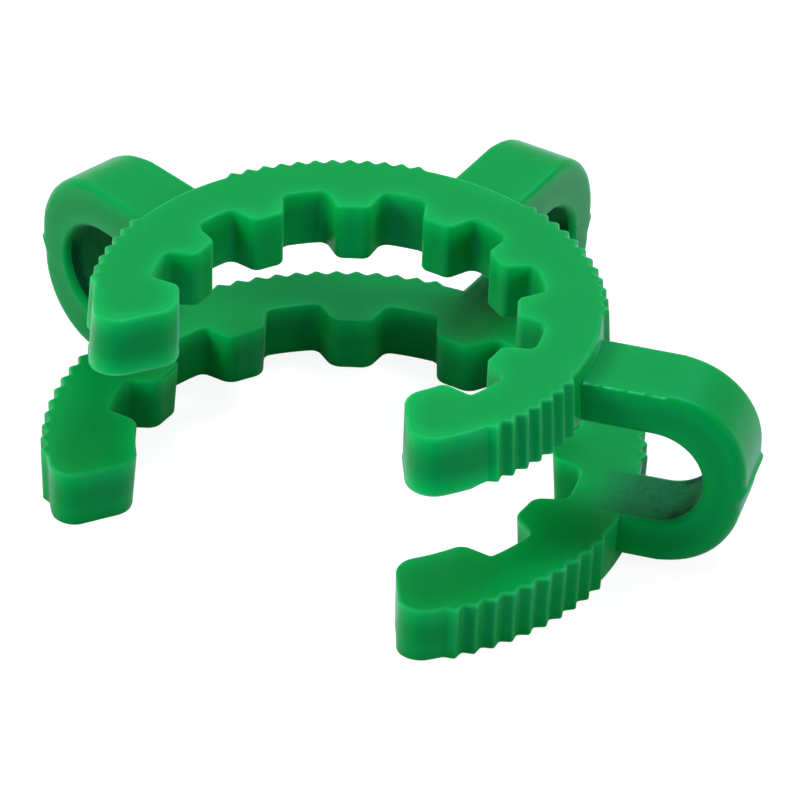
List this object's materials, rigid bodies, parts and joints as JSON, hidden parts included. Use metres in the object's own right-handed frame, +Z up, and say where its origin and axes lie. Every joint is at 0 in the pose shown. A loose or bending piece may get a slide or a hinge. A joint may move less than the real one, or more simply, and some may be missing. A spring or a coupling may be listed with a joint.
{
  "type": "ground glass joint clip",
  "caption": "Springy one-piece plastic clip: two toothed C-shaped rings of different sizes, joined by three outward loops, hold a taper joint together.",
  "frame": {"origin": "on the ring axis, level with the lower ring's underside", "axes": "+Z up along the ring axis from the larger ring to the smaller one, +Y towards the loop at the back, so the mouth faces -Y; X = 0 is the mirror plane"},
  "size_m": [0.06, 0.0452, 0.0163],
  "materials": {
    "clip": "satin moulded acetal, mid green, dyed through"
  },
  "bodies": {
    "root": {"clip": "clip"}
  },
  "joints": []
}
